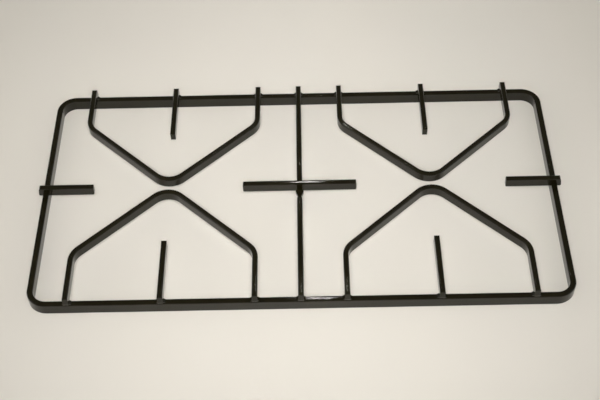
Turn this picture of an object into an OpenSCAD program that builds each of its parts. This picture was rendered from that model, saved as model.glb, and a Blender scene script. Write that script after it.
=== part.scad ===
// Stove grate, a welded wire-work pan support in gloss black enamel.
// The bent outer frame lies on the hob. Bars on edge are welded across its top and
// reach in over two pairs of burners, and the pans stand on them.
// Millimetres, with the origin on the hob surface under the middle of the grate.
// X runs to the right, Y to the back and Z up.

/* [Frame] */
// Width over the frame, left to right
frame_w = 480; // [440:5:560]
// Depth over the frame, front to back
frame_d = 255; // [240:5:320]
// Outer radius of the frame's bent corners
corner_r = 18; // [12:1:40]
// Thickness of the frame bar, which stands on edge
frame_bar_t = 5.5; // [4:0.5:8]
// Height of the frame bar
frame_bar_h = 12.5; // [11.5:0.5:18]

/* [Pan bars] */
// Thickness of the bars that the pans stand on
bar_t = 5; // [4:0.5:7]
// Height of those bars
bar_h = 10.5; // [8:0.5:11.5]
// Radius of the rolled edges along every bar
edge_r = 1.6; // [0.4:0.1:1.8]
// Radius of the dressed corners at the bar ends, seen from the side
end_r = 2.8; // [0.6:0.1:3.2]
// Radius of the corners at the bar ends, seen from above
tip_r = 1; // [0.4:0.1:1.8]
// Lean of the sheared outer ends, in degrees from upright
shear_a = 8; // [0:1:20]
// How far the feet stand out past the front and the back of the frame
overhang = 1.5; // [0:0.1:3]

/* [V bars] */
// Distance of each pair of burners from the middle of the grate, left and right
burner_x = 121.5; // [112:0.5:128]
// Distance of a V bar's straight arms from the middle of its burner
arm_x = 81.5; // [74:0.5:88]
// Slope of a V bar's slanting legs from the left to right direction, in degrees
leg_a = 43; // [36:1:48]
// Radius of the bends along the middle of the bar
bend_r = 18; // [8:1:24]
// Gap between the points of a front and a back V bar
point_gap = 11; // [6:0.5:30]

/* [Fingers] */
// Length of the short fingers from the frame's outer face
finger_l = 62.5; // [40:0.5:72]
// Length of the left and right fingers
side_finger_l = 52; // [35:1:62]
// How far the foot of a left or right finger stands out past the frame
side_overhang = 3; // [0:0.1:6]
// Length of the cross bar in the middle
cross_l = 105.5; // [60:0.5:120]

/* [Centre bar] */
// Level length of the dip that lets the centre bar pass under the cross bar
dip_l = 13; // [13:1:40]
// Slope of the bar down into the dip, in degrees
dip_a = 45; // [30:1:55]
// Radius on the hollow side of the dip's bends
dip_r = 2; // [1:0.5:6]

/* [Welds] */
// Width of a weld fillet on each side of a bar
weld_w = 1.8; // [1:0.1:3]
// Height of a weld fillet
weld_h = 2.4; // [1:0.1:4]
// How far the weld has spread the centre bar at each side, under the cross bar
weld_spread = 1.2; // [0.2:0.1:2]

/* [Hidden] */
$fn = 48;
// Largest turn between two stations along a bend of a V bar or of the centre bar, in degrees
bend_step = 7.5;
// Flats round each rolled edge of those bars
edge_steps = 4;
// Pan bars stand on top of the frame bar
seat_z = frame_bar_h;
// Middle of the frame bar, front and back
seat_y = (frame_d - frame_bar_t) / 2;
// Middle of the frame bar, left and right
seat_x = (frame_w - frame_bar_t) / 2;
// How far a leaning end goes back over the height of the bar
shear = bar_h * tan(shear_a);
// Middle of a V bar at its point, measured from the centre line of the grate
point_y = (point_gap + bar_t) / 2;
// Where the two legs would meet if the point were sharp
leg_meet_y = point_y - bend_r * (1 / cos(leg_a) - 1);
// Where an arm and a leg would meet if the elbow were sharp
elbow_y = leg_meet_y + arm_x * tan(leg_a);
// Length that a bend takes off the straight run at each side of it
elbow_cut = bend_r * tan((90 - leg_a) / 2);
point_cut = bend_r * tan(leg_a);
// Radius of the dip's bends along the middle of the bar
dip_mid_r = dip_r + bar_h / 2;
// Slanting run between the two bends at one side of the dip
dip_run = (bar_h - 2 * dip_mid_r * (1 - cos(dip_a))) / sin(dip_a);
// Length along the grate that one side of the dip takes
dip_reach = 2 * dip_mid_r * sin(dip_a) + dip_run * cos(dip_a);
// Width of the centre bar at its widest, under the cross bar
spread_w = bar_t + 2 * weld_spread;
// Front ends of the bars that cross the front of the frame
foot_y = -frame_d / 2 - overhang;

// Unit vector from one point to another
function toward(a, b) = (b - a) / norm(b - a);
// Half of the angle between the two edges that leave a corner
function half_angle(c, p, q) = acos(toward(c, p) * toward(c, q)) / 2;

// A polygon with its corners rounded, its points given in order. A point on a straight side is left out.
module soft_polygon(pts, r) {
    n = len(pts);
    corners = [
        for (i = [0:n - 1])
            let(c = [pts[i], pts[(i + n - 1) % n], pts[(i + 1) % n]])
            if (half_angle(c[0], c[1], c[2]) < 89.9) c
    ];
    polygon([
        for (c = corners, k = [1, 2])
            c[0] + toward(c[0], c[k]) * r / tan(half_angle(c[0], c[1], c[2]))
    ]);
    for (c = corners) {
        inward = toward(c[0], c[0] + toward(c[0], c[1]) + toward(c[0], c[2]));
        translate(c[0] + inward * r / sin(half_angle(c[0], c[1], c[2])))
            circle(r = r);
    }
}

// Cross section of a bar, t across and h up, standing on the X axis
module bar_section(t, h) {
    soft_polygon([[-t / 2, 0], [t / 2, 0], [t / 2, h], [-t / 2, h]], edge_r);
}

// Straight bar along +Y
module straight_bar(t, h, length) {
    translate([0, length, 0])
        rotate([90, 0, 0])
            linear_extrude(height = length)
                bar_section(t, h);
}

// Slab from side to side with the outline of a pan bar that is seen from its side. It runs from
// near to far along +Y, and its ends lean back by the lengths given.
module side_outline(width, near, far, near_lean, far_lean) {
    translate([-width / 2, 0, 0])
        rotate([90, 0, 90])
            linear_extrude(height = width)
                soft_polygon([
                    [near, seat_z],
                    [far, seat_z],
                    [far - far_lean, seat_z + bar_h],
                    [near + near_lean, seat_z + bar_h]
                ], end_r);
}

// Straight pan bar along +Y with dressed ends, standing at seat height
module pan_bar(length, near_lean, far_lean) {
    intersection() {
        side_outline(2 * bar_t, 0, length, near_lean, far_lean);
        translate([0, -1, seat_z])
            straight_bar(bar_t, bar_h, length + 2);
        translate([0, 0, seat_z - 1])
            linear_extrude(height = bar_h + 2)
                soft_polygon([
                    [-bar_t / 2, 0],
                    [bar_t / 2, 0],
                    [bar_t / 2, length],
                    [-bar_t / 2, length]
                ], tip_r);
    }
}

// Weld fillets at both sides of a bar along Y that crosses a bar of thickness under_t
module weld_fillets(under_t) {
    along = under_t - edge_r;
    translate([0, along / 2, seat_z])
        rotate([90, 0, 0])
            linear_extrude(height = along)
                polygon([
                    [-bar_t / 2 - weld_w, 0],
                    [bar_t / 2 + weld_w, 0],
                    [bar_t / 2 - edge_r / 2, weld_h],
                    [edge_r / 2 - bar_t / 2, weld_h]
                ]);
}

// Bar on edge bent round in a rectangle, with four bent corners
module frame_ring() {
    across = frame_w - 2 * corner_r;
    along = frame_d - 2 * corner_r;
    for (side = [-1, 1]) {
        translate([side * seat_x, -along / 2, 0])
            straight_bar(frame_bar_t, frame_bar_h, along);
        translate([across / 2, side * seat_y, 0])
            rotate(90)
                straight_bar(frame_bar_t, frame_bar_h, across);
    }
    for (quarter = [0:3])
        translate([
            (quarter % 3 == 0 ? 1 : -1) * across / 2,
            (quarter < 2 ? 1 : -1) * along / 2,
            0
        ])
            rotate(90 * quarter)
                rotate_extrude(angle = 90, $fn = 96)
                    translate([corner_r - frame_bar_t / 2, 0])
                        bar_section(frame_bar_t, frame_bar_h);
}

// Stations that follow p along a flat path of straight runs and bends, each as [point, heading].
// A positive turn goes to the left.
function next_stations(p, a, runs, turns, r, i = 0) =
    let(q = p + runs[i] * [cos(a), sin(a)])
    i == len(turns) ? [[q, a]] :
    let(
        side = sign(turns[i]),
        centre = q + side * r * [-sin(a), cos(a)],
        steps = ceil(abs(turns[i]) / bend_step),
        bend = [
            for (k = [0:steps])
                let(b = a + turns[i] * k / steps)
                [centre + side * r * [sin(b), -cos(b)], b]
        ]
    )
    concat(bend, next_stations(bend[steps][0], a + turns[i], runs, turns, r, i + 1));

// All stations of a bar that starts at p and sets off along +Y
function stations(p, runs, turns, r) = concat([[p, 90]], next_stations(p, 90, runs, turns, r));

// Points of a bar's cross section, t across and h up, round its softened corners
function section_points(t, h, r) = [
    for (q = [0:3], k = [0:edge_steps])
        let(
            corner = [[1, -1], [1, 1], [-1, 1], [-1, -1]][q],
            a = 90 * q - 90 + 90 * k / edge_steps
        )
        [
            corner[0] * (t / 2 - r) + r * cos(a),
            corner[1] * (h / 2 - r) + r * sin(a) + h / 2
        ]
];

// Bar t across and h up, standing on the XY plane, that follows the stations
module swept_bar(t, h, path) {
    section = section_points(t, h, edge_r);
    n = len(section);
    last = len(path) - 1;
    points = [
        for (s = path, c = section)
            [s[0][0] + c[0] * sin(s[1]), s[0][1] - c[0] * cos(s[1]), c[1]]
    ];
    sides = [
        for (i = [0:last - 1], j = [0:n - 1])
            [i * n + j, i * n + (j + 1) % n, (i + 1) * n + (j + 1) % n, (i + 1) * n + j]
    ];
    polyhedron(
        points = points,
        faces = concat(
            [[for (j = [n - 1:-1:0]) j]],
            sides,
            [[for (j = [0:n - 1]) last * n + j]]
        ),
        convexity = 6
    );
}

// Front V bar, centred on X, from the front of the frame to its point and back
module v_bar() {
    arm_run = -foot_y - elbow_y - elbow_cut;
    leg_run = arm_x / cos(leg_a) - elbow_cut - point_cut;
    runs = [arm_run, leg_run, leg_run, arm_run];
    turns = [leg_a - 90, -2 * leg_a, leg_a - 90];
    intersection() {
        translate([0, 0, seat_z])
            swept_bar(bar_t, bar_h, stations([-arm_x, foot_y], runs, turns, bend_r));
        side_outline(2 * arm_x + 4 * bar_t, foot_y, bar_t, shear, 0);
    }
    for (x = [-arm_x, arm_x])
        translate([x, -seat_y, 0])
            weld_fillets(frame_bar_t);
}

// Short front finger, centred on X
module short_finger() {
    translate([0, foot_y, 0])
        pan_bar(finger_l + overhang, shear, 0);
    translate([0, -seat_y, 0])
        weld_fillets(frame_bar_t);
}

// Right finger, along X, from its overhanging foot to its tip
module side_finger() {
    rotate(90) {
        translate([0, -frame_w / 2 - side_overhang, 0])
            pan_bar(side_finger_l, shear, 0);
        translate([0, -seat_x, 0])
            weld_fillets(frame_bar_t);
    }
}

// Spread of the centre bar where the cross bar is welded down on it
module weld_collar() {
    hull()
        for (half = [[bar_t / 2, spread_w], [bar_t / 2 + 2 * weld_w, bar_t - 0.1]])
            translate([0, half[0], seat_z])
                rotate([90, 0, 0])
                    linear_extrude(height = 2 * half[0])
                        mirror([0, 1])
                            bar_section(half[1], bar_h / 2);
}

// Centre bar with a dip in the middle, from front to back
module dipped_bar() {
    dip_half = dip_l / 2 + dip_reach;
    end_run = -foot_y - dip_half;
    runs = [end_run, dip_run, dip_l, dip_run, end_run];
    turns = [-dip_a, dip_a, dip_a, -dip_a];
    intersection() {
        translate([-bar_t / 2, 0, seat_z + bar_h / 2])
            rotate([0, 90, 0])
                swept_bar(bar_h, bar_t, stations([0, foot_y], runs, turns, dip_mid_r));
        union() {
            side_outline(2 * bar_t, foot_y, -foot_y, shear, shear);
            translate([-bar_t, -dip_half, 0])
                cube([2 * bar_t, 2 * dip_half, seat_z + bar_h]);
        }
    }
    weld_collar();
    for (y = [-seat_y, seat_y])
        translate([0, y, 0])
            weld_fillets(frame_bar_t);
}

module outer_frame() {
    color([0.03, 0.03, 0.03])
        frame_ring();
}

module front_left_v_bar() {
    color([0.05, 0.05, 0.05])
        translate([-burner_x, 0, 0])
            v_bar();
}

module front_right_v_bar() {
    color([0.05, 0.05, 0.05])
        translate([burner_x, 0, 0])
            v_bar();
}

module rear_left_v_bar() {
    color([0.05, 0.05, 0.05])
        mirror([0, 1, 0])
            translate([-burner_x, 0, 0])
                v_bar();
}

module rear_right_v_bar() {
    color([0.05, 0.05, 0.05])
        mirror([0, 1, 0])
            translate([burner_x, 0, 0])
                v_bar();
}

module front_left_finger() {
    color([0.07, 0.07, 0.07])
        translate([-burner_x, 0, 0])
            short_finger();
}

module front_right_finger() {
    color([0.07, 0.07, 0.07])
        translate([burner_x, 0, 0])
            short_finger();
}

module rear_left_finger() {
    color([0.07, 0.07, 0.07])
        mirror([0, 1, 0])
            translate([-burner_x, 0, 0])
                short_finger();
}

module rear_right_finger() {
    color([0.07, 0.07, 0.07])
        mirror([0, 1, 0])
            translate([burner_x, 0, 0])
                short_finger();
}

module right_finger() {
    color([0.07, 0.07, 0.07])
        side_finger();
}

module left_finger() {
    color([0.07, 0.07, 0.07])
        mirror([1, 0, 0])
            side_finger();
}

module centre_bar() {
    color([0.05, 0.05, 0.05])
        dipped_bar();
}

module cross_bar() {
    color([0.07, 0.07, 0.07]) {
        rotate(-90)
            translate([0, -cross_l / 2, 0])
                pan_bar(cross_l, 0, 0);
        rotate(90)
            weld_fillets(bar_t + weld_spread);
    }
}

outer_frame();
rear_left_v_bar();
rear_right_v_bar();
front_left_v_bar();
front_right_v_bar();
rear_left_finger();
rear_right_finger();
front_left_finger();
front_right_finger();
left_finger();
right_finger();
centre_bar();
cross_bar();
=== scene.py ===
import math

import bpy
from mathutils import Matrix, Quaternion, Vector

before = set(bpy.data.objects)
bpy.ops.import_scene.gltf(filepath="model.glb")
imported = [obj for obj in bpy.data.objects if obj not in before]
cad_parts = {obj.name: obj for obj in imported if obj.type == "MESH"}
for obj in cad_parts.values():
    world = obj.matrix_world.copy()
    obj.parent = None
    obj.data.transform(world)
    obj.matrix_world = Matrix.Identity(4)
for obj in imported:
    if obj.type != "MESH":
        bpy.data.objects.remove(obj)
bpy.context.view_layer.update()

# Looks for a welded bar grate in gloss black enamel, lying on a pale table.
print("frame loaded:", len(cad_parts), "bars")

# What the camera needs to see the grate as the photograph does.
cameraView = {
    "azimuth": 0.620,  # degrees round the grate from the front
    "elevation": 49.761,  # degrees above the table
    "roll": -1.597,  # degrees round the line of sight
    "distance": 1.1050,  # metres from the point looked at
    "lookAt": (0.00006, -0.00266, 0.0),
    "focalPixels": 1176.46,
    "imageWidth": 600,
    "sensorWidth": 36.0,
}


def addCamera(view):
    data = bpy.data.cameras.new("camera")
    data.sensor_fit = "HORIZONTAL"
    data.sensor_width = view["sensorWidth"]
    data.lens = view["focalPixels"] / view["imageWidth"] * view["sensorWidth"]
    data.clip_start = 0.01
    data.clip_end = 50.0
    camera = bpy.data.objects.new("camera", data)
    bpy.context.scene.collection.objects.link(camera)
    azimuth = math.radians(view["azimuth"])
    elevation = math.radians(view["elevation"])
    back = Vector((
        math.sin(azimuth) * math.cos(elevation),
        -math.cos(azimuth) * math.cos(elevation),
        math.sin(elevation),
    ))
    turn = Matrix.Rotation(azimuth, 3, "Z") @ Matrix.Rotation(math.pi / 2 - elevation, 3, "X")
    camera.rotation_mode = "QUATERNION"
    camera.rotation_quaternion = turn.to_quaternion() @ Quaternion((0, 0, 1), math.radians(view["roll"]))
    camera.location = Vector(view["lookAt"]) + back * view["distance"]
    bpy.context.scene.camera = camera
    return camera


# Shader building blocks

def newMaterial(name):
    material = bpy.data.materials.new(name)
    material.use_nodes = True
    nodes = material.node_tree.nodes
    nodes.clear()
    output = nodes.new("ShaderNodeOutputMaterial")
    shader = nodes.new("ShaderNodeBsdfPrincipled")
    material.node_tree.links.new(shader.outputs["BSDF"], output.inputs["Surface"])
    return material, nodes, material.node_tree.links, shader


def addNoise(nodes, links, place, scale, detail=2.0, roughness=0.5):
    noise = nodes.new("ShaderNodeTexNoise")
    noise.inputs["Scale"].default_value = scale
    noise.inputs["Detail"].default_value = detail
    noise.inputs["Roughness"].default_value = roughness
    links.new(place.outputs["Object"], noise.inputs["Vector"])
    return noise.outputs["Fac"]


def addRange(nodes, links, value, fromLow, fromHigh, toLow, toHigh):
    spread = nodes.new("ShaderNodeMapRange")
    spread.inputs["From Min"].default_value = fromLow
    spread.inputs["From Max"].default_value = fromHigh
    spread.inputs["To Min"].default_value = toLow
    spread.inputs["To Max"].default_value = toHigh
    links.new(value, spread.inputs["Value"])
    return spread.outputs["Result"]


def addColourRamp(nodes, links, value, low, high, lowAt=0.35, highAt=0.65):
    ramp = nodes.new("ShaderNodeValToRGB")
    ramp.color_ramp.elements[0].position = lowAt
    ramp.color_ramp.elements[0].color = (*low, 1.0)
    ramp.color_ramp.elements[1].position = highAt
    ramp.color_ramp.elements[1].color = (*high, 1.0)
    links.new(value, ramp.inputs["Fac"])
    return ramp.outputs["Color"]


def addBump(nodes, links, height, distance, strength, under=None):
    bump = nodes.new("ShaderNodeBump")
    bump.inputs["Distance"].default_value = distance
    bump.inputs["Strength"].default_value = strength
    links.new(height, bump.inputs["Height"])
    if under is not None:
        links.new(under, bump.inputs["Normal"])
    return bump.outputs["Normal"]


enamel = {
    "dark": (0.0058, 0.0048, 0.0015),
    "light": (0.0098, 0.0082, 0.0030),
    "cloudScale": 60.0,  # slow changes of depth in the coat, per metre
    "cloudDetail": 3.0,
    "cloudLow": 0.3,  # the clouds' range that the roughness follows
    "cloudHigh": 0.7,
    "roughLow": 0.025,
    "roughHigh": 0.06,
    "ior": 1.45,
    "peelScale": 900.0,  # orange peel of the fired glaze, per metre
    "peelDetail": 1.0,
    "peelDepth": 0.00006,
    "peelStrength": 0.2,
    "speckScale": 5200.0,  # fine pinholes
    "speckDetail": 2.0,
    "speckDepth": 0.00001,
    "speckStrength": 0.3,
}


def enamelMaterial(look):
    material, nodes, links, shader = newMaterial("black_enamel")
    place = nodes.new("ShaderNodeTexCoord")
    clouds = addNoise(nodes, links, place, look["cloudScale"], look["cloudDetail"])
    colour = addColourRamp(nodes, links, clouds, look["dark"], look["light"])
    links.new(colour, shader.inputs["Base Color"])
    cloudRange = (look["cloudLow"], look["cloudHigh"])
    rough = addRange(nodes, links, clouds, *cloudRange, look["roughLow"], look["roughHigh"])
    links.new(rough, shader.inputs["Roughness"])
    waves = addNoise(nodes, links, place, look["peelScale"], look["peelDetail"])
    peel = addBump(nodes, links, waves, look["peelDepth"], look["peelStrength"])
    specks = addNoise(nodes, links, place, look["speckScale"], look["speckDetail"])
    coat = addBump(nodes, links, specks, look["speckDepth"], look["speckStrength"], peel)
    links.new(coat, shader.inputs["Normal"])
    shader.inputs["IOR"].default_value = look["ior"]
    return material


smoothing = {
    "weldDistance": 0.00001,  # the frame's triangles come loose, and shading needs them joined
    "sharpAngle": 40.0,  # degrees, past which an edge stays crisp
    "weight": 60,
}


def smoothBar(bar, look):
    for face in bar.data.polygons:
        face.use_smooth = True
    weld = bar.modifiers.new("join", "WELD")
    weld.merge_threshold = look["weldDistance"]
    split = bar.modifiers.new("crisp", "EDGE_SPLIT")
    split.split_angle = math.radians(look["sharpAngle"])
    split.use_edge_sharp = False
    normals = bar.modifiers.new("flats", "WEIGHTED_NORMAL")
    normals.weight = look["weight"]
    normals.keep_sharp = True


def dressBars(material):
    for name in sorted(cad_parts):
        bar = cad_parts[name]
        bar.data.materials.clear()
        bar.data.materials.append(material)
        smoothBar(bar, smoothing)


table = {
    "size": 6.0,
    "colour": (0.81, 0.78, 0.725),
    "shade": (0.785, 0.755, 0.705),
    "cloudScale": 3.0,  # slow changes of tone in the laminate, per metre
    "roughness": 0.32,
}


def addTable(look):
    bpy.ops.object.select_all(action="DESELECT")
    bpy.ops.mesh.primitive_plane_add(size=look["size"], location=(0, 0, 0))
    floor = bpy.context.active_object
    floor.name = "table_top"
    material, nodes, links, shader = newMaterial("table_laminate")
    place = nodes.new("ShaderNodeTexCoord")
    clouds = addNoise(nodes, links, place, look["cloudScale"])
    colour = addColourRamp(nodes, links, clouds, look["shade"], look["colour"])
    links.new(colour, shader.inputs["Base Color"])
    shader.inputs["Roughness"].default_value = look["roughness"]
    floor.data.materials.append(material)
    return floor


# Lamps, each aimed at a point on the table. The level there is near 1, so colours come out as
# written. The main softbox and the fill hang at the camera, which hides the shadows behind the bars,
# and the enamel doesn't mirror them. The two tubes behind make the short glints on the cross bar and
# on the front of the frame.
lights = {
    "mainSoftbox": {  # the pool of light in the middle
        "place": (0.0, -0.70, 0.86),
        "aim": (-0.02, 0.28, 0.0),
        "size": (0.20, 0.20),
        "spread": 62.0,
        "power": 1.40,
        "mirrored": False,
    },
    "cameraFill": {  # the level round it
        "place": (0.0, -0.70, 0.86),
        "aim": (0.0, 0.30, 0.0),
        "size": (0.20, 0.20),
        "spread": 180.0,
        "power": 3.7,
        "mirrored": False,
    },
    "leftSoftbox": {
        "place": (-2.3, -0.5, 1.4),
        "aim": (0.0, 0.0, 0.0),
        "size": (1.4, 1.0),
        "spread": 180.0,
        "power": 7.0,
        "mirrored": True,
    },
    "rightSoftbox": {
        "place": (2.3, -0.5, 1.4),
        "aim": (0.0, 0.0, 0.0),
        "size": (1.4, 1.0),
        "spread": 180.0,
        "power": 7.0,
        "mirrored": True,
    },
    "middleTube": {
        "place": (0.003, 1.619, 1.880),
        "aim": (0.0, 0.0, 0.0),
        "size": (0.060, 0.010),
        "spread": 180.0,
        "power": 0.35,
        "mirrored": True,
    },
    "frontTube": {
        "place": (0.029, 1.325, 2.049),
        "aim": (0.0, -0.125, 0.0),
        "size": (0.050, 0.010),
        "spread": 180.0,
        "power": 0.25,
        "mirrored": True,
    },
}
lampColour = (1.0, 0.98, 0.95)


def addLamp(name, look, colour):
    data = bpy.data.lights.new(name, "AREA")
    data.shape = "RECTANGLE"
    data.size, data.size_y = look["size"]
    data.spread = math.radians(look["spread"])
    data.energy = look["power"]
    data.color = colour
    lamp = bpy.data.objects.new(name, data)
    lamp.location = look["place"]
    lamp.rotation_mode = "QUATERNION"
    lamp.rotation_quaternion = (Vector(look["place"]) - Vector(look["aim"])).to_track_quat("Z", "Y")
    lamp.visible_glossy = look["mirrored"]
    bpy.context.scene.collection.objects.link(lamp)
    return lamp


room = {
    "ceiling": (0.125, 0.116, 0.085),
    "walls": (0.35, 0.34, 0.33),
    "wallTop": 0.42,  # where the walls begin to fade into the ceiling, 0 level and 1 overhead
    "ceilingEdge": 0.60,
    "backdrop": (0.78, 0.75, 0.695),  # what the camera sees past the table's edge
}


def addRoom(look):
    world = bpy.data.worlds.new("room")
    world.use_nodes = True
    bpy.context.scene.world = world
    nodes = world.node_tree.nodes
    links = world.node_tree.links
    background = nodes["Background"]
    place = nodes.new("ShaderNodeTexCoord")
    split = nodes.new("ShaderNodeSeparateXYZ")
    links.new(place.outputs["Generated"], split.inputs["Vector"])
    fade = (look["wallTop"], look["ceilingEdge"])
    height = addColourRamp(nodes, links, split.outputs["Z"], look["walls"], look["ceiling"], *fade)
    ray = nodes.new("ShaderNodeLightPath")
    mix = nodes.new("ShaderNodeMixRGB")
    links.new(ray.outputs["Is Camera Ray"], mix.inputs["Fac"])
    links.new(height, mix.inputs["Color1"])
    mix.inputs["Color2"].default_value = (*look["backdrop"], 1.0)
    links.new(mix.outputs["Color"], background.inputs["Color"])


addCamera(cameraView)
dressBars(enamelMaterial(enamel))
print("bars enamelled")
addTable(table)
for name, look in lights.items():
    addLamp(name, look, lampColour)
addRoom(room)
bpy.context.scene.view_settings.view_transform = "Standard"
print("table and lights placed")
